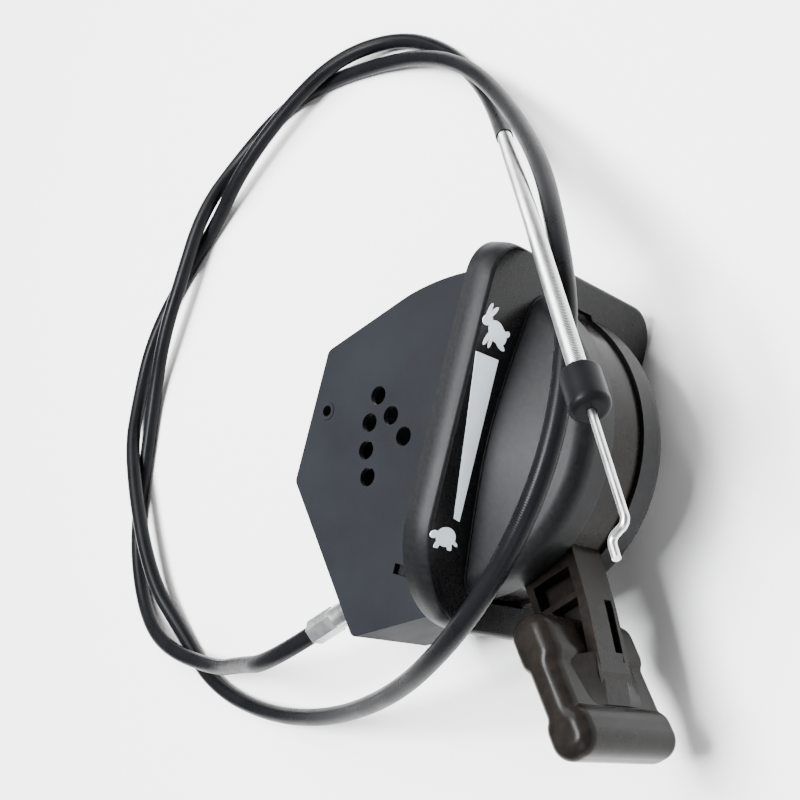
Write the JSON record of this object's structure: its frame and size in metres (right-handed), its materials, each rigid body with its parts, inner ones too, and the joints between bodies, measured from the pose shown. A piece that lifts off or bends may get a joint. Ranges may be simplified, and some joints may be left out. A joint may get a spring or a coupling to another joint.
{
  "type": "throttle control",
  "caption": "Panel throttle control: T-handle lever on a drum in a half-disc dome, moulded bezel, pressed steel channel and a sheathed control cable.",
  "frame": {"origin": "middle of the control's footprint, on the surface that it lies on; the cable is left out", "axes": "the control lies on its right side: +Z is its left side, +X its fast end (hare), -Y its front, +Y back through the panel"},
  "size_m": [0.2267, 0.2771, 0.0873],
  "materials": {
    "bezel_plastic": "satin and gloss black moulding",
    "lever_plastic": "gloss black moulding",
    "mark_film": "printed pale blue-white",
    "black_steel": "satin black coating",
    "zinc_steel": "zinc plated",
    "bright_steel": "bright drawn",
    "friction_lining": "matte fibre",
    "nylon": "matte",
    "jacket_pvc": "finely ribbed black",
    "cap_rubber": "satin black"
  },
  "bodies": {
    "housing": {"bezel": "bezel_plastic", "hare_mark": "mark_film", "tortoise_mark": "mark_film", "wedge_mark": "mark_film", "side_bracket": "black_steel", "rear_standoff": "zinc_steel", "pivot_bolt": "zinc_steel", "pivot_bush": "zinc_steel", "thrust_collar": "nylon", "friction_washer_left": "friction_lining", "friction_washer_right": "friction_lining", "spring_washer": "bright_steel", "plain_washer_inner": "zinc_steel", "bolt_washer": "zinc_steel", "lock_nut": "zinc_steel", "lock_nut_insert": "nylon", "conduit_ferrule": "zinc_steel", "cable_jacket": "jacket_pvc", "wound_conduit": "bright_steel", "conduit_cap": "cap_rubber", "control_wire_middle": "bright_steel"},
    "lever": {"lever": "lever_plastic"},
    "wire_lever_end": {"control_wire_lever_end": "bright_steel"},
    "wire_far_end": {"control_wire_far_end": "bright_steel"}
  },
  "joints": [
    {"name": "lever_pivot", "type": "hinge", "parent": "housing", "child": "lever", "pos_m": [0.00873, 0.00243, 0.0344], "axis": [0, 0, 1], "range_deg": [0, 75]},
    {"name": "wire_pull", "type": "slide", "parent": "housing", "child": "wire_lever_end", "axis": [0.6374, -0.7705, 0], "range_m": [0, 0.0236]},
    {"name": "wire_retract", "type": "slide", "parent": "housing", "child": "wire_far_end", "axis": [0.7056, 0.6529, -0.2752], "range_m": [0, 0.0236]}
  ],
  "couplings": [
    {"joint": "wire_pull", "follows": "lever_pivot", "m_per_rad": 0.018},
    {"joint": "wire_retract", "follows": "lever_pivot", "m_per_rad": 0.018}
  ]
}
